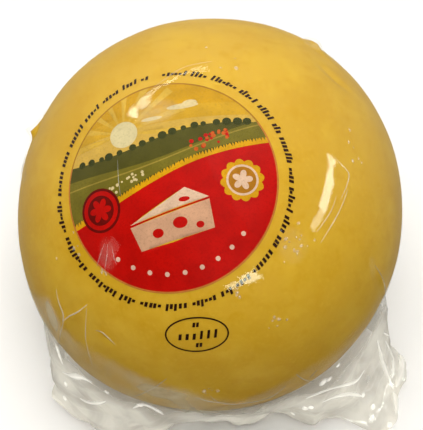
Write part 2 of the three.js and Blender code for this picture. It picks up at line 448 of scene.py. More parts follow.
# Broad folds of the tight film: x and y in the photograph and height along each, then half width
RIDGES = {
    "nub_at_left": (
        (
            (52, 101, 0.0), (40, 119, 0.7), (31, 132, 1.8), (31, 138, 0.8),
            (27, 152, 0.7), (23, 172, 0.5), (20, 198, 0.0),
        ),
        1.5,
    ),
    "nub_tip": (((45, 118, 0.0), (38, 126, 0.7), (32, 132, 2.3), (33, 136, 0.8), (31, 140, 0.0)), 1.3),
    "bump_at_upper_right": (
        ((298, 41, 0.0), (307, 42, 1.4), (314, 45, 2.3), (320, 52, 1.2), (331, 61, 0.5), (344, 73, 0.0)),
        2.0,
    ),
    "beside_long_window": (
        ((334, 157, 0.0), (348, 173, 0.14), (347, 190, 0.09), (338, 212, 0.07), (324, 238, 0.0)),
        1.2,
    ),
    "lower_left": (((57, 289, 0.0), (62, 305, 0.4), (66, 319, 0.7), (62, 330, 0.8), (60, 342, 0.5)), 1.6),
    "lower_left_branch": (((87, 304, 0.0), (79, 311, 0.5), (71, 315, 0.6), (66, 319, 0.5)), 1.2),
    "small_bend": (((96, 330, 0.0), (103, 331, 0.3), (111, 338, 0.35), (116, 344, 0.0)), 0.9),
    "right_side": (((374, 265, 0.0), (380, 276, 0.4), (383, 287, 0.5), (384, 296, 0.3)), 1.2),
}
# Thin folds that lie on the film: x and y along each, then height and half width
THREADS = {
    "beside_long_window": (((333, 156), (341, 165), (348, 174), (346, 186), (340, 200)), 0.22, 0.20),
    "beside_long_window_low": (((347, 190), (342, 204), (335, 218), (328, 230), (320, 243)), 0.25, 0.22),
    "across_long_window": (((336, 196), (331, 210), (322, 224), (316, 232)), 0.20, 0.20),
    "over_label_left": (((118, 160), (119, 180), (121, 196)), 0.08, 0.10),
    "over_label_top": (((212, 62), (190, 66), (176, 72), (162, 82), (148, 93)), 0.12, 0.16),
    "lower_left": (((57, 289), (60, 300), (65, 312), (66, 319), (63, 330), (61, 341)), 0.30, 0.30),
    "lower_left_branch": (((88, 304), (79, 311), (71, 315), (66, 319)), 0.28, 0.28),
    "lower_left_upright": (((87, 307), (86, 334), (88, 348), (93, 366)), 0.20, 0.22),
    "small_bend": (((96, 330), (103, 331), (111, 338), (116, 344)), 0.20, 0.25),
    "bottom_left": (((134, 396), (151, 389), (167, 378)), 0.25, 0.25),
    "bottom_middle": (((196, 397), (208, 400), (221, 402)), 0.25, 0.25),
    "bottom_right": (
        ((210, 395), (218, 401), (234, 403), (254, 401), (267, 398), (278, 392), (286, 385)), 0.30, 0.26,
    ),
    "tick_right": (((296, 374), (304, 379), (316, 381)), 0.25, 0.25),
    "tick_right_again": (((309, 377), (317, 369)), 0.20, 0.22),
    "right_side": (((374, 265), (380, 276), (383, 287), (384, 296)), 0.25, 0.22),
    # The fan threads over the label are partly painted glare: their haze pales the print in streaks
    "fan_left": (((105, 243), (101, 254), (97, 267)), 0.08, 0.10),
    "fan_middle": (((108, 244), (107, 257), (105, 271)), 0.09, 0.10),
    "fan_right": (((112, 246), (114, 256), (117, 265)), 0.08, 0.10),
}
# Places where the film lies a little off: x and y in the photograph, half width, half height and haze
HAZY_PLACES = {
    # The patches over the label are partly painted glare: their haze pales the print where a reflection
    # lies
    "over_label_top": (156, 112, 8.5, 5.5, 0.15),
    "over_label_low": (108, 254, 3.4, 6.0, 0.06),
    "left_side": (52, 316, 4.0, 8.5, 0.30),
    "bottom_left": (160, 392, 10.5, 6.0, 0.20),
    "right_side": (372, 268, 2.0, 6.0, 0.10),
    "beside_mark": (293, 246, 6.0, 7.0, 0.07),
    "left_edge": (24, 168, 4.5, 15.0, 0.16),
    "bump": (318, 50, 9.0, 3.5, 0.14),
}
# Where the film stops clinging and turns milky: x and y in the photograph from left to right, and haze
VEIL_EDGE = (
    (50, 296, 0.30), (56, 308, 0.30), (64, 324, 0.30), (75, 338, 0.27), (93, 349, 0.26),
    (113, 359, 0.26), (147, 377, 0.33), (187, 389, 0.38), (215, 398, 0.34), (242, 399, 0.26),
    (262, 391, 0.20), (285, 380, 0.17), (304, 368, 0.16), (332, 351, 0.15), (350, 333, 0.14),
    (366, 316, 0.12), (378, 298, 0.10),
)
VEIL_HAZE_ELSEWHERE = 0.20
MOST_HAZE_ON_BALL = 0.6
VEIL_ELSEWHERE = -14.0
VEIL_SOFT_EDGE = (-1.6, 3.8)
VEIL_FADES_IN = 25
# Small bubbles under the film: x and y of the middle of each group, how many, and how far they spread
BUBBLES = {
    "beside_mark": (294, 246, 16, 8.0),
    "right_of_oval": (276, 318, 8, 3.5),
    "below_glare": (236, 290, 6, 4.0),
    "bottom": (207, 391, 7, 4.0),
    "far_right": (356, 152, 6, 6.0),
    "top": (222, 57, 4, 8.0),
    "left": (70, 250, 5, 8.0),
    "over_label_low": (104, 271, 5, 1.6),
}
BUBBLE_SEED = 5
BUBBLE_RADII = (0.3, 0.4, 0.55, 0.8)
# Haze of the bubbles, which also scales the painted glint on their crowns
BUBBLE_HAZE_AND_GLINT = 0.6
# Haze of the knots, raised near white to paint glints
KNOT_GLINT_HAZE = 2.2
THREAD_HAZE = 0.55
LOOSE_FOLD_HAZE = 0.85
LOOSE_FOLD_LIFT = 0.12
LOOSE_FOLD_HIGHER = 0.8
LOOSE_FOLD_WIDER = 1.7
# Folds of the loose film: x and y along each, then height and half width
LOOSE_FOLDS = {
    "flap_outer": (((397, 341), (400, 352), (402, 364), (401, 375), (396, 387)), 0.9, 1.3),
    "flap_middle": (((385, 341), (390, 352), (393, 364), (392, 378)), 0.7, 1.0),
    "flap_inner": (((377, 340), (380, 352), (383, 364), (388, 377), (393, 389)), 0.7, 0.9),
    "flap_top": (((383, 333), (391, 337), (400, 341), (406, 346)), 0.5, 0.6),
    "flap_low": (((393, 392), (396, 402), (396, 414)), 0.6, 0.8),
    "long_line": (((306, 398), (318, 393), (332, 388), (344, 385), (356, 381), (364, 370)), 0.6, 0.8),
    "under_line": (((322, 402), (336, 396), (350, 394), (362, 396)), 0.5, 0.8),
    "left_side": (((56, 338), (57, 346), (60, 355), (63, 364)), 0.6, 1.1),
    "left_curve": (((63, 372), (72, 376), (82, 377), (93, 383)), 0.5, 0.9),
    "left_curve_low": (((80, 398), (88, 402), (98, 403), (106, 401)), 0.4, 0.8),
    "bottom_left": (((133, 408), (143, 404), (154, 408), (163, 414)), 0.5, 0.9),
}


def line_distance(points, line, values):
    """Distance of each point from a line of points, and the value along the line where it's nearest."""
    best = np.full(len(points), 1e9)
    nearest = np.zeros(len(points))
    for index in range(len(line) - 1):
        step = line[index + 1] - line[index]
        along = np.clip((points - line[index]) @ step / (step @ step), 0, 1)
        gap = np.linalg.norm(points - line[index] - along[:, None] * step, axis=1)
        closer = gap < best
        best = np.where(closer, gap, best)
        here = values[index] + along * (values[index + 1] - values[index])
        nearest = np.where(closer, here, nearest)
    return best, nearest


def smooth_line(stops, steps=6):
    """A smooth line through stops, of any number of values each."""
    stops = np.asarray(stops, float)
    padded = np.concatenate([stops[:1], stops, stops[-1:]])
    shares = np.linspace(0, 1, steps, endpoint=False)[:, None]
    parts = []
    for index in range(len(stops) - 1):
        before, start, end, after = padded[index : index + 4]
        bend = (2 * before - 5 * start + 4 * end - after) * shares**2
        turn = (3 * (start - end) + after - before) * shares**3
        parts.append(0.5 * (2 * start + (end - before) * shares + bend + turn))
    return np.concatenate(parts + [stops[-1:]])


def ridge_lift(points, ridges):
    """How far ridges along lines of the photograph stand off the rind at each point."""
    flat = points.reshape(-1, 3)
    lift = np.zeros(len(flat))
    for stops, half_width in ridges.values():
        fine = smooth_line(stops)
        line = rind_points(pixel_directions(fine[:, :2]))
        near = np.linalg.norm(flat - line.mean(0), axis=1) < 45
        gap, height = line_distance(flat[near], line, fine[:, 2])
        lift[near] += height * np.exp(-((gap / half_width) ** 2))
    return lift.reshape(points.shape[:-1])


def corner_share(azimuths, azimuth, half_angle, slope):
    away = np.abs((azimuths - azimuth + 540) % 360 - 180)
    return 1 - smoothstep(away, half_angle - slope, half_angle + slope)


def leaving_height(azimuths):
    """The height at which the film leaves the ball, higher where a corner draws it out."""
    share = np.zeros(azimuths.shape)
    for azimuth, _, _ in CORNERS:
        share = np.maximum(share, corner_share(azimuths, azimuth, CORNER_TENT, CORNER_TENT))
    return LEAVES_BALL_AT + LEAVES_HIGHER_AT_CORNERS_BY * share


def hem_radius(azimuths):
    """How far out the film's hem lies."""
    turn = np.radians(azimuths)
    frontness = np.maximum(0, -np.sin(turn)) ** 2
    radius = HEM_RADIUS - HEM_PULLED_IN_AT_FRONT * frontness
    for azimuth, reach, half_angle in CORNERS:
        radius = radius + reach * corner_share(azimuths, azimuth, half_angle, CORNER_SHOULDER)
    for azimuth, reach, half_angle, slope in HEM_SHOWN:
        radius = radius + reach * corner_share(azimuths, azimuth, half_angle, slope)
    for count, height, phase in HEM_WAVES:
        radius = radius + height * fold(count * turn + phase)
    return radius


# Facets of crumpled film: how far apart, and how steep
FACETS = ((36, 0.060), (23, 0.065), (14, 0.060))
FACET_SEED = 21
# Share of the crumple that the tight film has low down
CRUMPLE_ON_BALL = 0.16


def crumple(points):
    """Height of flat facets with sharp creases between them, and how near a crease is, 0 to 1."""
    draw = random.Random(FACET_SEED)
    height = np.zeros(points.shape[:-1])
    crease = np.zeros(points.shape[:-1])
    for index, (spacing, steepness) in enumerate(FACETS):
        direction = np.array([draw.gauss(0, 1) for _ in range(3)])
        direction = direction / np.linalg.norm(direction)
        bent = 1.6 * noise_at(points, 26, 3.3 + 2.1 * index)
        wave = fold(2 * math.pi * (points @ direction) / spacing + bent + draw.uniform(0, 6))
        height = height + steepness * spacing * (1 + wave) / 2
        crease = np.maximum(crease, smoothstep(np.abs(wave), 0.86, 1.0))
    return height, crease


# Knots of the loose film, whose high haze paints bright glints: x, y and half width of each
LOOSE_GLINT_KNOTS = (
    (58, 349, 1.5), (60, 356, 1.2), (77, 350, 1.3), (66, 384, 1.2), (65, 398, 1.2), (107, 392, 1.0),
    (140, 405, 1.2), (323, 382, 1.7), (329, 379, 1.2), (338, 365, 1.0), (305, 408, 1.6), (311, 407, 1.4),
    (293, 413, 1.3), (363, 395, 1.1), (373, 407, 1.2), (372, 418, 1.4), (390, 425, 1.3), (403, 386, 1.3),
    (401, 362, 1.0), (349, 384, 1.0),
)


def veil(directions):
    """Haze of the film below the edge at which it comes away from the ball."""
    stops = np.array(VEIL_EDGE, float)
    edge = pixel_directions(stops[:, :2])
    edge_azimuth = np.degrees(np.arctan2(edge[:, 1], edge[:, 0]))
    edge_elevation = np.degrees(np.arcsin(edge[:, 2]))
    order = np.argsort(edge_azimuth)
    ends = (edge_azimuth[order[0]] - VEIL_FADES_IN, edge_azimuth[order[-1]] + VEIL_FADES_IN)
    at = np.concatenate([ends[:1], edge_azimuth[order], ends[1:]])
    level = np.concatenate([[VEIL_ELSEWHERE], edge_elevation[order], [VEIL_ELSEWHERE]])
    strength = np.concatenate([[VEIL_HAZE_ELSEWHERE], stops[order, 2], [VEIL_HAZE_ELSEWHERE]])
    azimuth = np.degrees(np.arctan2(directions[..., 1], directions[..., 0]))
    azimuth = np.where(azimuth > 90, azimuth - 360, azimuth)
    below_edge = np.interp(azimuth, at, level) - np.degrees(np.arcsin(directions[..., 2]))
    return np.interp(azimuth, at, strength) * smoothstep(below_edge, *VEIL_SOFT_EDGE)


def film_haze_on_ball(points, directions):
    """How milky the tight film is at each point."""
    flat = points.reshape(-1, 3)
    haze = veil(directions) * (0.9 + 0.45 * noise_at(points, 13, 6.4) + 0.2 * noise_at(points, 4, 2.4))
    for x, y, half_width, half_height, strength in HAZY_PLACES.values():
        middle = rind_points(pixel_directions(np.array([[x, y]])))[0]
        right, up = print_frame((middle - MIDDLE) / np.linalg.norm(middle - MIDDLE))
        away = flat - middle
        depth = away @ (middle - MIDDLE) / HALF_WIDTH
        reach = ((away @ right) / half_width) ** 2 + ((away @ up) / half_height) ** 2 + (depth / 20) ** 2
        speckle = 0.8 + 0.5 * noise_at(points, 1.6, 9.5)
        haze = haze + strength * (1 - smoothstep(reach, 0.3, 1.2)).reshape(haze.shape) * speckle
    return np.clip(haze, 0, MOST_HAZE_ON_BALL)


def film_wrap_points(azimuths):
    """Rows of the tight film from the crown down to where it leaves the ball."""
    leaves = elevation_at_height(azimuths, leaving_height(azimuths))
    shares = np.linspace(0, 1, WRAP_ROWS + 1)[1:, None]
    directions = direction_of(azimuths[None, :], 90 + shares * (leaves[None, :] - 90))
    on_rind = rind_points(directions)
    low_down = smoothstep(-directions[..., 2], 0.05, 0.45)
    height, _ = crumple(on_rind)
    uneven, size, seed = FILM_UNEVEN
    lift = FILM_LIFT + ridge_lift(on_rind, RIDGES)
    lift = lift + uneven * noise_at(on_rind, size, seed) + CRUMPLE_ON_BALL * low_down * height
    return directions, on_rind, on_rind + directions * lift[..., None]


LOOSE_FILM = bpy.data.collections.new("loose_film")


def film_piece(name, points, faces, material, haze, loose=False):
    """A piece of film with its painted haze. Loose film also takes lights of its own."""
    piece = make_piece(name, points, faces, [material], "film")
    painted = piece.data.attributes.new("haze", "FLOAT", "POINT")
    painted.data.foreach_set("value", np.asarray(haze, np.float32).ravel())
    if loose:
        LOOSE_FILM.objects.link(piece)
    return piece


def make_film():
    azimuths = np.linspace(0, 360, FILM_COLUMNS, endpoint=False)
    directions, on_rind, wrap = film_wrap_points(azimuths)
    top = rind_points(direction_of(0, 90)[None], FILM_LIFT)
    points = np.concatenate([top, wrap.reshape(-1, 3)])
    faces = ring_faces(WRAP_ROWS - 1, FILM_COLUMNS, 1)
    for column in range(FILM_COLUMNS):
        faces.append((0, 1 + column, 1 + (column + 1) % FILM_COLUMNS))
    haze = film_haze_on_ball(on_rind, directions)
    film_piece("film_wrap", points, faces, film_material("film_tight"), [0.0, *haze.ravel()])

    rows, haze = skirt_points(azimuths, wrap[-1], haze[-1])
    faces = ring_faces(len(rows) - 1, FILM_COLUMNS)
    piece = film_piece("film_loose", rows.reshape(-1, 3), faces, film_material("film_loose"), haze, True)
    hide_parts("film_skirt")
    # Doubled film, whose whiter haze partly paints glints
    bright = film_material("film_doubled")
    make_threads(bright)
    make_bubbles(bright)
    make_loose_folds(bright, rows.reshape(-1, 3), faces)


SKIRT_HAZE = 0.70
SKIRT_CREASE_HAZE = 0.10
MOST_SKIRT_HAZE = 0.8
PLEATS_SHOWN = 0.38


def skirt_points(azimuths, start, start_haze):
    """Rows of the loose film, from where it leaves the ball out to its hem, and how milky it is."""
    turn = np.radians(azimuths)
    start_radius = np.hypot(start[:, 0], start[:, 1])
    hem = hem_radius(azimuths)
    inward = np.maximum(start_radius - hem, 0)
    outward = np.maximum(hem - start_radius, 0)
    controls = (
        (start_radius, start[:, 2]),
        (start_radius - 0.25 * inward, 0.5 * start[:, 2]),
        (start_radius - inward - HEM_TURNS_OUT_BY + 0.35 * outward, np.zeros_like(hem)),
        (hem, np.zeros_like(hem)),
    )
    rows, hazes = [], []
    for share in np.linspace(0, 1, SKIRT_ROWS + 1):
        left = 1 - share
        weights = (left**3, 3 * share * left**2, 3 * share**2 * left, share**3)
        slopes = (-3 * left**2, 3 * left * (1 - 3 * share), 3 * share * (2 - 3 * share), 3 * share**2)
        radius, height = (sum(w * c[k] for w, c in zip(weights, controls)) for k in (0, 1))
        d_radius, d_height = (sum(s * c[k] for s, c in zip(slopes, controls)) for k in (0, 1))
        length = np.hypot(d_radius, d_height)
        off_radius, off_height = -d_height / length, np.maximum(d_radius / length, 0)
        base = np.stack([radius * np.cos(turn), radius * np.sin(turn), height + FILM_LIFT], -1)
        stand = np.zeros_like(turn)
        for count, pleat, phase, drift in PLEATS:
            stand = stand + pleat * (1 + fold(count * turn + phase + drift * share))
        facets, crease = crumple(base)
        onset = smoothstep(share, 0, 0.25)
        stand = smoothstep(share, 0, 0.55) * stand * PLEATS_SHOWN + onset * facets
        out = np.stack([off_radius * np.cos(turn), off_radius * np.sin(turn), off_height], -1)
        rows.append(base + out * stand[:, None])
        cloud = SKIRT_HAZE * (1 + 0.7 * noise_at(base, 17, 4.4)) + SKIRT_CREASE_HAZE * crease
        hazes.append(start_haze * (1 - onset) + onset * cloud)
    rows = np.array(rows)
    rows[0] = start
    rows[..., 2] = np.maximum(rows[..., 2], 0.05)
    return rows, np.clip(np.array(hazes), 0, MOST_SKIRT_HAZE)


FOLD_ACROSS = (-1.0, -0.5, 0.0, 0.5, 1.0)


def fold_strips(lines, milky):
    """Low ridges along lines: each line's points, outward directions, height and half width."""
    points, faces, haze = [], [], []
    for line, outward, height, half_width in lines:
        ahead = np.gradient(line, axis=0)
        ahead = ahead / np.linalg.norm(ahead, axis=1, keepdims=True)
        side = np.cross(outward, ahead)
        count = len(line)
        taper = np.sin(math.pi * np.linspace(0.04, 0.96, count)) ** 0.6
        taper = taper * (1 + 0.5 * noise_at(line, 5, 8.1))
        first = sum(len(p) for p in points)
        for offset in FOLD_ACROSS:
            rise = height * taper * (1 - abs(offset))
            points.append(line + side * (offset * half_width * taper)[:, None] + outward * rise[:, None])
            haze.append(np.full(count, milky * (1 - 0.8 * abs(offset))))
        for strip in range(len(FOLD_ACROSS) - 1):
            for index in range(count - 1):
                a = first + strip * count + index
                faces.append((a, a + 1, a + count + 1, a + count))
    return np.concatenate(points), faces, np.concatenate(haze)


def make_threads(material):
    """Thin folds of doubled film that lie on the tight film."""
    lines = []
    for stops, height, half_width in THREADS.values():
        directions = pixel_directions(smooth_line(stops, 7))
        line = rind_points(directions, FILM_LIFT + 0.05)
        line = line + directions * ridge_lift(line, RIDGES)[:, None]
        lines.append((line, directions, height, half_width))
    points, faces, haze = fold_strips(lines, THREAD_HAZE)
    film_piece("film_folds", points, faces, material, haze)


def make_loose_folds(material, film_points, film_faces):
    """Folds of doubled film on the loose film, and knots of it whose high haze paints glints."""
    surface = BVHTree.FromPolygons([Vector(p) for p in film_points.tolist()], film_faces)
    lines = []
    for stops, height, half_width in LOOSE_FOLDS.values():
        rays = pixel_rays(smooth_line(stops, 7))
        hits = [surface.ray_cast(Vector(CAMERA_PLACE), Vector(ray)) for ray in rays]
        hits = [hit for hit in hits if hit[0] is not None]
        if len(hits) < 4:
            continue
        line = np.array([tuple(hit[0]) for hit in hits])
        outward = np.array([tuple(hit[1]) for hit in hits])
        outward = outward * np.sign(outward @ TO_CAMERA)[:, None]
        for _ in range(3):
            line[1:-1] = (line[:-2] + 2 * line[1:-1] + line[2:]) / 4
            outward[1:-1] = (outward[:-2] + 2 * outward[1:-1] + outward[2:]) / 4
        outward = outward / np.linalg.norm(outward, axis=1, keepdims=True)
        line = line + LOOSE_FOLD_LIFT * outward
        lines.append((line, outward, LOOSE_FOLD_HIGHER * height, LOOSE_FOLD_WIDER * half_width))
    points, faces, haze = fold_strips(lines, LOOSE_FOLD_HAZE)
    film_piece("film_loose_folds", points, faces, material, haze, True)

    points, faces, haze = [], [], []
    for x, y, radius in LOOSE_GLINT_KNOTS:
        place, normal, _, _ = surface.ray_cast(Vector(CAMERA_PLACE), Vector(pixel_rays((x, y))))
        if place is None:
            continue
        out = np.array(normal) * np.sign(np.array(normal) @ TO_CAMERA)
        right = np.cross(CAMERA_UP, out)
        right = right / np.linalg.norm(right)
        add_dome(points, faces, haze, np.array(place), right, np.cross(out, right), out, radius, 1.3, 0.1)
    # The knots' haze is raised near white as a painted glint
    film_piece("film_glint_knots", points, faces, material, np.minimum(KNOT_GLINT_HAZE * np.array(haze), 0.97), True)


DOME_SIDES = 10
DOME_HEIGHT = 0.32


def add_dome(points, faces, haze, place, right, up, out, radius, stretch, lift):
    """Adds one low dome to lists of points, faces and haze, the haze rising to a painted glint at its
    crown.
    """
    sides = DOME_SIDES
    first = len(points)
    for share, rise in ((1.0, 0.0), (0.62, 0.7)):
        for index in range(sides):
            turn = 2 * math.pi * index / sides
            reach = radius * share * (math.cos(turn) * right + stretch * math.sin(turn) * up)
            points.append(place + reach + out * (lift + DOME_HEIGHT * radius * rise))
            # The haze rises towards the crown: a painted glint on each dome
            haze.append(0.15 + 0.30 * rise)
    points.append(place + out * (lift + DOME_HEIGHT * radius))
    haze.append(0.50)
    for index in range(sides):
        after = (index + 1) % sides
        faces.append((first + index, first + after, first + sides + after, first + sides + index))
        faces.append((first + sides + index, first + sides + after, first + 2 * sides))


def make_bubbles(material):
    """Low domes where air is caught under the film, each with a painted glint of haze at its crown."""
    draw = random.Random(BUBBLE_SEED)
    points, faces, haze = [], [], []
    for x, y, count, spread in BUBBLES.values():
        middle = pixel_directions(np.array([[x, y]]))[0]
        for _ in range(count):
            flat = np.array([[draw.gauss(0, spread / 2), draw.gauss(0, spread / 2)]])
            place = on_ball(middle, flat, 0.0)[0] - MIDDLE
            out = place / np.linalg.norm(place)
            radius = draw.choice(BUBBLE_RADII)
            stretch = draw.uniform(0.6, 1.6)
            right, up = print_frame(out)
            place = MIDDLE + place
            add_dome(points, faces, haze, place, right, up, out, radius, stretch, FILM_LIFT + 0.08)
    film_piece("film_bubbles", points, faces, material, BUBBLE_HAZE_AND_GLINT * np.array(haze))


# Print

def print_frame(middle):
    """The print's right and up at a direction, turned as the photograph shows it."""
    turn = math.radians(PRINT_TURN)
    right = CAMERA_RIGHT * math.cos(turn) + CAMERA_UP * math.sin(turn)
    right = right - (right @ middle) * middle
    right = right / np.linalg.norm(right)
    return right, np.cross(middle, right)


def on_ball(middle, flat, lift):
    """Bends flat points in millimetres round the ball, about one direction."""
    right, up = print_frame(middle)
    flat = np.asarray(flat, float)
    reach = np.hypot(flat[:, 0], flat[:, 1])
    angle = reach / rind_radius(middle[None])[0]
    safe = np.maximum(reach, 1e-9)
    sideways = flat[:, :1] / safe[:, None] * right + flat[:, 1:] / safe[:, None] * up
    directions = np.cos(angle)[:, None] * middle + np.sin(angle)[:, None] * sideways
    return rind_points(directions, lift)


def ellipse(x, y, half_x, half_y, steps=40):
    turns = np.linspace(0, 2 * math.pi, steps, endpoint=False)
    return np.stack([x + half_x * np.cos(turns), y + half_y * np.sin(turns)], -1)


def circle(x, y, radius, steps=40):
    return ellipse(x, y, radius, radius, steps)


def rosette(x, y, radius, scallops, depth, steps=96):
    turns = np.linspace(0, 2 * math.pi, steps, endpoint=False)
    reach = radius * (1 - depth + depth * np.abs(np.cos(scallops * turns / 2)))
    return np.stack([x + reach * np.cos(turns), y + reach * np.sin(turns)], -1)


def below(curve, low=-1.2, steps=60):
    """The outline of everything in the label below a curve."""
    across = np.linspace(-1.05, 1.05, steps)
    upper = np.stack([across, curve(across)], -1)
    return np.concatenate([upper, [[1.05, low], [-1.05, low]]])


def inside(points, outline):
    """Which points lie inside a closed outline."""
    x, y = points[:, 0], points[:, 1]
    hit = np.zeros(len(points), bool)
    before = outline[-1]
    for here in outline:
        crosses = (here[1] > y) != (before[1] > y)
        slope = (before[0] - here[0]) / (before[1] - here[1] if before[1] != here[1] else 1e-12)
        hit ^= crosses & (x < here[0] + slope * (y - here[1]))
        before = here
    return hit


def far_hill(x):
    return 0.40 + 0.05 * np.sin(3.4 * x + 0.4) + 0.05 * x


def near_hill(x):
    return 0.28 + 0.06 * np.sin(2.6 * x - 1.2) + 0.12 * x


def field_edge(x):
    return 0.06 + 0.20 * x + 0.07 * np.sin(2.3 * x + 0.7)


def field_edge_below(x):
    return field_edge(x) - 0.06


# Places in the label, in units of its radius
SEAL_RIGHT = (0.66, -0.12)
SEAL_LEFT = (-0.66, -0.14)
SUN = (-0.36, 0.52)
RAY_LENGTH = 0.62
RAY_HALF_ANGLE = 0.07
FURROW_WIDTH = 0.013


def sun_rays():
    """Faint rays that fan out from the sun."""
    rays = []
    for index in range(9):
        angle = math.radians(-8 + 24 * index)
        sides = (angle - RAY_HALF_ANGLE, angle + RAY_HALF_ANGLE)
        ends = [(SUN[0] + RAY_LENGTH * math.cos(s), SUN[1] + RAY_LENGTH * math.sin(s)) for s in sides]
        rays.append((np.array([SUN, *ends]), "ray"))
    return rays


def label_shapes():
    """Outlines of the label's print from back to front, in units of its radius, each with its ink."""
    shapes = [
        (circle(0, 0, 1.0, 180), "sky_high"),
        (circle(0, 0, LABEL_EDGE, 180), "sky_high"),
        (below(lambda x: 0.72 - 0.10 * x * x), "sky_middle"),
        (below(lambda x: 0.56 - 0.06 * x * x), "sky_low"),
        *sun_rays(),
        (circle(*SUN, 0.135), "sun"),
        (ellipse(0.22, 0.70, 0.15, 0.030), "cloud"),
        (ellipse(0.29, 0.725, 0.07, 0.035), "cloud"),
        (ellipse(-0.08, 0.62, 0.10, 0.020), "cloud"),
        (below(far_hill), "hill_far"),
        (below(near_hill), "hill_near"),
    ]
    draw = random.Random(LABEL_SEED)
    for index in range(17):
        place = -0.80 + 0.10 * index + draw.uniform(-0.02, 0.02)
        size = draw.uniform(0.7, 1.25)
        shapes.append((ellipse(place, far_hill(place) + 0.008, 0.036 * size, 0.034 * size, 18), "tree"))
    for share in (0.16, 0.32, 0.48, 0.64, 0.80):
        for drop, ink in ((0.0, "furrow"), (FURROW_WIDTH, "hill_near")):
            furrow = below(lambda x: field_edge(x) + share * (near_hill(x) - field_edge(x)) - drop)
            shapes.append((furrow, ink))
    for _ in range(26):
        place = draw.uniform(0.24, 0.60)
        height = field_edge(place) + draw.uniform(0.04, 0.15)
        flower = circle(place, height, draw.uniform(0.012, 0.022), 10)
        shapes.append((flower, draw.choice(("red", "poppy"))))
    for _ in range(18):
        place = draw.uniform(-0.55, -0.15)
        height = field_edge(place) + draw.uniform(0.03, 0.12)
        shapes.append((circle(place, height, draw.uniform(0.009, 0.016), 8), "cloud"))
    shapes.append((below(field_edge), "gold"))
    for index in range(70):
        place = -0.98 + 0.028 * index
        height = field_edge(place) + 0.004
        tip = (place + draw.uniform(-0.012, 0.012), height - draw.uniform(0.018, 0.042))
        blade = np.array([(place - 0.011, height), (place + 0.011, height), tip])
        shapes.append((blade, draw.choice(("hill_near", "hill_far"))))
    shapes += [
        (below(field_edge_below), "red"),
        (np.array([(-0.40, -0.36), (0.34, -0.24), (0.34, -0.50), (-0.34, -0.58)]), "wedge_side"),
        (np.array([(-0.40, -0.34), (0.14, -0.10), (0.34, -0.22)]), "wedge_top"),
        (ellipse(-0.16, -0.455, 0.050, 0.040), "red"),
        (ellipse(0.05, -0.40, 0.065, 0.050), "red"),
        (ellipse(0.22, -0.45, 0.035, 0.030), "red"),
        (ellipse(0.12, -0.205, 0.050, 0.022), "red"),
        (rosette(*SEAL_RIGHT, 0.20, 12, 0.14), "gold"),
        (circle(*SEAL_RIGHT, 0.145), "wedge_top"),
        (circle(*SEAL_RIGHT, 0.125), "gold_dark"),
        (rosette(*SEAL_RIGHT, 0.095, 5, 0.55), "wedge_top"),
        (circle(*SEAL_LEFT, 0.20), "deep_red"),
        (circle(*SEAL_LEFT, 0.175), "red"),
        (circle(*SEAL_LEFT, 0.135), "deep_red"),
        (rosette(*SEAL_LEFT, 0.11, 6, 0.5), "red"),
    ]
    for index in range(9):
        angle = math.radians(-90 + 11 * (index - 4))
        shapes.append((circle(0.83 * math.cos(angle), 0.83 * math.sin(angle), 0.022, 14), "cream"))
    return shapes


LABEL_EDGE = 0.984
INKS = {
    # The two rim inks are painted shade along the label's edge
    "edge_shade_high": (0.36, 0.165, 0.010),
    "edge_shade_low": (0.50, 0.17, 0.03),
    "sky_high": (0.54, 0.285, 0.003),
    "sky_middle": (0.56, 0.315, 0.012),
    "sky_low": (0.58, 0.360, 0.055),
    "ray": (0.60, 0.370, 0.040),
    "sun": (0.64, 0.540, 0.280),
    "poppy": (0.55, 0.100, 0.010),
    "cloud": (0.62, 0.490, 0.240),
    "hill_far": (0.075, 0.068, 0.008),
    "hill_near": (0.160, 0.130, 0.012),
    "tree": (0.040, 0.044, 0.006),
    "furrow": (0.300, 0.220, 0.030),
    "gold": (0.60, 0.300, 0.003),
    "gold_dark": (0.38, 0.150, 0.006),
    "red": (0.455, 0.0030, 0.0010),
    "deep_red": (0.130, 0.0030, 0.0015),
    "wedge_side": (0.56, 0.310, 0.180),
    "wedge_top": (0.68, 0.460, 0.310),
    "cream": (0.68, 0.420, 0.310),
}
LABEL_GRID = 1.6
LABEL_SEED = 3


def flat_triangles(outlines, spacing, reach):
    """Triangles of a flat area that has every outline as edges, with grid points between."""
    points, edges = [], []
    for outline in outlines:
        first = len(points)
        points += [Vector(p) for p in outline]
        edges += [(first + i, first + (i + 1) % len(outline)) for i in range(len(outline))]
    steps = int(reach / spacing)
    for i in range(-steps, steps + 1):
        for j in range(-steps, steps + 1):
            x, y = (i + 0.5 * (j % 2)) * spacing, j * spacing * 0.87
            if math.hypot(x, y) < reach - 0.4 * spacing:
                points.append(Vector((x, y)))
    made = geometry.delaunay_2d_cdt(points, edges, [], 0, 1e-5)
    return np.array([tuple(p) for p in made[0]]), np.array([tuple(f) for f in made[2]])


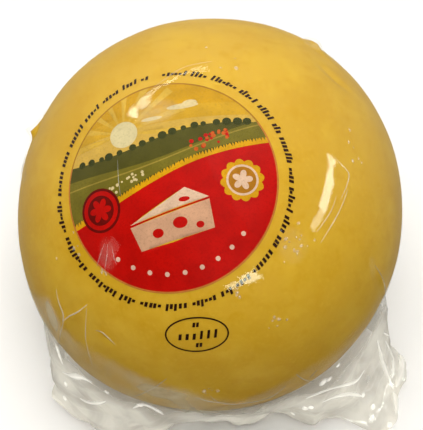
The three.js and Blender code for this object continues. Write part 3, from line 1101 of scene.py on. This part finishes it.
def make_label():
    middle = direction_of(LABEL_AZIMUTH, 90 - LABEL_TILT)
    shapes = [(outline * LABEL_RADIUS, ink) for outline, ink in label_shapes()]
    flat, faces = flat_triangles([outline for outline, _ in shapes], LABEL_GRID, LABEL_RADIUS)
    centres = flat[faces].mean(1)
    faces = faces[inside(centres, shapes[0][0])]
    centres = flat[faces].mean(1)
    names = list(INKS)
    ink_of_face = np.zeros(len(faces), int)
    for outline, ink in shapes:
        ink_of_face[inside(centres, outline)] = names.index(ink)
    # A narrow rim of painted shade along the label's edge, over the sky and over the fields
    edge = np.hypot(centres[:, 0], centres[:, 1]) > LABEL_EDGE * LABEL_RADIUS
    high = centres[:, 1] > far_hill(centres[:, 0] / LABEL_RADIUS) * LABEL_RADIUS
    ink_of_face[edge & high] = names.index("edge_shade_high")
    ink_of_face[edge & ~high] = names.index("edge_shade_low")
    used, compact = np.unique(faces, return_inverse=True)
    points = on_ball(middle, flat[used], PRINT_LIFT)
    materials = [print_material(f"ink_{name}", colour) for name, colour in INKS.items()]
    faces = compact.reshape(-1, 3)
    piece = make_piece("label_print", points, faces, materials, "label", True, ink_of_face)
    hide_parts("label")


# Small marks

MARK_RING_RADIUS = 44.2
MARK_HEIGHT = 2.5
MARK_WIDTH = 0.95
MARK_STEP = 1.62
MARK_GAP_AT = 92.0
MARK_GAP = 6.0
MARK_SEED = 11
MARK_SLANT = 0.22
# Kinds of marks: where they start, how wide and how tall, as shares of the usual
MARK_KINDS = {"tall": (0.0, 1.0, 1.0), "short": (0.0, 1.15, 0.72), "low": (0.12, 1.2, 0.42)}


def bar(x, y, width, height, slant):
    left, right, top = x - width / 2, x + width / 2, y + height
    return np.array([(left, y), (right, y), (right + slant, top), (left + slant, top)])


def one_mark(draw, x, height, kinds=("tall", "short", "short", "short", "low")):
    """A plain mark on a line: a tall bar, a short bar or a dot."""
    start, wide, tall = MARK_KINDS[draw.choice(kinds)]
    return bar(x, height * start, MARK_WIDTH * wide, height * tall, MARK_SLANT * height * tall)


def fill_mesh(outlines, to_ball):
    """Points and faces of small flat outlines, each one polygon, put on the ball."""
    points, faces = [], []
    for outline in outlines:
        first = len(points)
        points += [tuple(p) for p in outline]
        faces.append(tuple(range(first, first + len(outline))))
    return to_ball(np.array(points)), faces


def make_mark_ring(material):
    middle = direction_of(LABEL_AZIMUTH, 90 - LABEL_TILT)
    draw = random.Random(MARK_SEED)
    outlines = []
    length = math.radians(360 - MARK_GAP) * MARK_RING_RADIUS
    at, left = 0.0, 0
    while at < length:
        if left == 0:
            left = draw.randint(3, 9)
            at += MARK_STEP * 0.9
        angle = math.radians(MARK_GAP_AT - MARK_GAP / 2) - at / MARK_RING_RADIUS
        outward = np.array((math.cos(angle), math.sin(angle)))
        along = np.array((math.sin(angle), -math.cos(angle)))
        outline = one_mark(draw, 0.0, MARK_HEIGHT)
        lifted = outline[:, 1:] - MARK_HEIGHT / 2 + MARK_RING_RADIUS
        outlines.append(lifted * outward + outline[:, :1] * along)
        at += MARK_STEP * draw.uniform(0.85, 1.15)
        left -= 1
    points, faces = fill_mesh(outlines, lambda flat: on_ball(middle, flat, PRINT_LIFT))
    make_piece("mark_ring", points, faces, [material], "label", False)


OVAL_MIDDLE_PIXEL = (196.8, 335.1)
OVAL_WIDTH = 22.8
OVAL_HEIGHT = 14.9
OVAL_LINE = 0.60
OVAL_STEPS = 72
# Rows of marks in the oval: height from its middle, how many, and how tall
OVAL_ROWS = ((3.4, 2, 1.8), (-1.8, 6, 3.5), (-5.2, 2, 1.8))
# Step between marks, as a share of their height
OVAL_MARK_STEP = 0.72


def make_oval(material):
    middle = pixel_directions(np.array([OVAL_MIDDLE_PIXEL]))[0]
    points, faces = [], []
    for inset in (0.0, OVAL_LINE):
        points += [*ellipse(0, 0, OVAL_WIDTH / 2 - inset, OVAL_HEIGHT / 2 - inset, OVAL_STEPS)]
    for index in range(OVAL_STEPS):
        after = (index + 1) % OVAL_STEPS
        faces.append((index, after, OVAL_STEPS + after, OVAL_STEPS + index))
    draw = random.Random(MARK_SEED + 1)
    for base, count, height in OVAL_ROWS:
        for index in range(count):
            x = (index - (count - 1) / 2) * (height * OVAL_MARK_STEP)
            outline = one_mark(draw, x, height, ("tall", "tall", "short"))
            first = len(points)
            points += [(p[0], p[1] + base) for p in outline]
            faces.append(tuple(range(first, first + len(outline))))
    points = on_ball(middle, np.array(points), PRINT_LIFT)
    make_piece("oval_mark", points, faces, [material], "label", False)


# Floor and light

FLOOR_HALF = 4.0
FLOOR_COLOUR = (0.86, 0.855, 0.84, 1)


def make_floor():
    mesh = bpy.data.meshes.new("floor")
    corners = [(x * FLOOR_HALF, y * FLOOR_HALF, 0) for x, y in ((-1, -1), (1, -1), (1, 1), (-1, 1))]
    mesh.from_pydata(corners, [], [(0, 1, 2, 3)])
    floor = bpy.data.objects.new("floor", mesh)
    bpy.context.scene.collection.objects.link(floor)
    material, tree = new_material("floor")
    shader = add_node(tree, "BsdfPrincipled", Base_Color=FLOOR_COLOUR, Roughness=0.8)
    add_node(tree, "OutputMaterial", Surface=shader.outputs[0])
    mesh.materials.append(material)
    floor.visible_glossy = False


# Soft lights: azimuth, elevation, distance, width, height and power
SOFT_LIGHTS = {
    "ceiling": (0, 90, 1.25, 1.0, 1.0, 19.1),
    "left": (170, 32, 1.3, 0.7, 0.7, 1.95),
    "right": (10, 32, 1.3, 0.7, 0.7, 0.36),
    "front": (-75, 65, 1.4, 0.5, 0.5, 2.7),
    "front_middle": (-85, 42, 1.4, 0.6, 0.6, 1.6),
}
# Cards that only the film mirrors: the two pixels that the middles of their ends mirror at,
# distance in millimetres, width in metres, brightness
GLOSS_CARDS = {
    "window_top": ((334, 159), (331, 176), 900, 0.055, 13.0),
    "window_middle": ((331, 176), (323, 210), 900, 0.105, 14.0),
    "window_low": ((323, 210), (313, 229), 900, 0.080, 7.0),
    "streak_right": ((204, 67), (176, 78), 1000, 0.022, 6.0),
    "streak_left": ((176, 78), (144, 100), 1000, 0.034, 8.0),
    "streak_middle": ((145, 99), (139, 105), 1000, 0.055, 12.0),
    "streak_end": ((134, 107), (130, 117), 1000, 0.080, 16.0),
    "low_window": ((229, 289), (243, 283), 900, 0.060, 8.0),
    "low_window_right": ((243, 283), (258, 273), 900, 0.095, 11.0),
    "left_glare": ((117, 241), (102, 268), 1000, 0.10, 0.9),
}
# Cards that only the loose film mirrors: azimuth, elevation, distance, width, height, brightness
LOOSE_FILM_CARDS = {
    "film_card_right": (-18, 30, 1.1, 0.42, 0.55, 5.0),
    "film_card_front": (-92, 38, 1.1, 0.42, 0.35, 5.0),
    "film_card_left": (-155, 30, 1.1, 0.42, 0.55, 4.0),
}
# Soft lights that only the loose film takes: azimuth, elevation, distance, width, height and power
LOOSE_FILM_LIGHTS = {
    "film_light_front": (-75, 12, 1.1, 0.5, 0.4, 7.5),
    "film_light_left": (-165, 12, 1.1, 0.5, 0.4, 4.0),
    "film_light_right": (0, 12, 1.1, 0.5, 0.4, 1.5),
    "film_light_back": (90, 12, 1.1, 0.5, 0.4, 4.0),
}
WARM_WHITE = (1.0, 0.985, 0.955)
GLOSS_WHITE = (0.90, 1.0, 0.84)
WORLD_STRENGTH = 0.60
ROOM_BRIGHT_TOWARD = (0, 1, -0.10)
ROOM_DIM_SHARE = 0.01
# How far towards its bright side the room starts to brighten, and is fully bright
ROOM_BRIGHTENS = (-0.15, 0.75)


def area_light(name, place, aim, width, height, power, up=(0, 0, 1)):
    """An area light whose width lies across, and whose height lies along up."""
    data = bpy.data.lights.new(name, "AREA")
    data.shape = "RECTANGLE"
    data.size, data.size_y = width, height
    data.energy = power
    data.color = WARM_WHITE
    light = bpy.data.objects.new(name, data)
    bpy.context.scene.collection.objects.link(light)
    back = (Vector(place) - Vector(aim)).normalized()
    side = Vector(up).cross(back).normalized()
    turn = Matrix((side, back.cross(side), back)).transposed()
    light.matrix_world = Matrix.Translation(Vector(place)) @ turn.to_4x4()
    return light


def mirror_place(pixel, distance):
    """Where something stands, in metres, to be mirrored at a pixel of the photograph."""
    direction = pixel_directions(np.array([pixel]))[0]
    here = rind_points(direction[None])[0]
    normal = rind_normal(direction)
    back = CAMERA_PLACE - here
    back = back / np.linalg.norm(back)
    out = 2 * (normal @ back) * normal - back
    return (here + distance * out) * MM, here * MM


def aimed_light(name, azimuth, elevation, distance, width, height, power):
    """An area light that faces the middle of the ball."""
    middle = Vector(MIDDLE) * MM
    place = middle + distance * Vector(direction_of(azimuth, elevation))
    up = (0, 1, 0) if elevation > 80 else (0, 0, 1)
    return area_light(name, place, middle, width, height, power, up)


def make_lights():
    for name, values in SOFT_LIGHTS.items():
        aimed_light(name, *values).visible_glossy = False
    for name, (first, last, distance, width, brightness) in GLOSS_CARDS.items():
        ends = [mirror_place(pixel, distance) for pixel in (first, last)]
        place = (ends[0][0] + ends[1][0]) / 2
        aim = (ends[0][1] + ends[1][1]) / 2
        along = ends[1][0] - ends[0][0]
        length = float(np.linalg.norm(along))
        light = area_light(name, place, aim, width, length, brightness * math.pi * width * length, along)
        light.data.color = GLOSS_WHITE
        light.visible_diffuse = False
    for name, (*aimed, width, height, brightness) in LOOSE_FILM_CARDS.items():
        light = aimed_light(name, *aimed, width, height, brightness * math.pi * width * height)
        light.visible_diffuse = False
        light.light_linking.receiver_collection = LOOSE_FILM
    for name, values in LOOSE_FILM_LIGHTS.items():
        light = aimed_light(name, *values)
        light.visible_glossy = False
        light.light_linking.receiver_collection = LOOSE_FILM


def make_world():
    """The room: bright behind the ball, and dim overhead and on the camera's side."""
    world = bpy.data.worlds.new("world")
    world.use_nodes = True
    tree = world.node_tree
    toward = tree.nodes.new("ShaderNodeVectorMath")
    toward.operation = "DOT_PRODUCT"
    toward.inputs[1].default_value = tuple(Vector(ROOM_BRIGHT_TOWARD).normalized())
    tree.links.new(add_node(tree, "TexCoord").outputs["Generated"], toward.inputs[0])
    low, high = ROOM_BRIGHTENS
    spread = add_node(tree, "MapRange", Value=toward.outputs["Value"], From_Min=low, From_Max=high)
    spread.interpolation_type = "SMOOTHSTEP"
    spread.inputs["To Min"].default_value = ROOM_DIM_SHARE
    background = tree.nodes["Background"]
    colour = mixed_colour(tree, spread.outputs["Result"], (0, 0, 0), WARM_WHITE, 0.0, 1.0)
    tree.links.new(colour, background.inputs["Color"])
    background.inputs["Strength"].default_value = WORLD_STRENGTH
    bpy.context.scene.world = world


make_floor()
make_lights()
make_world()
make_cheese()
make_film()
ink = print_material("ink_black", INK_BLACK, 0.6, 0.4)
make_label()
make_mark_ring(ink)
make_oval(ink)

view = bpy.context.scene.view_settings
view.view_transform = "Standard"
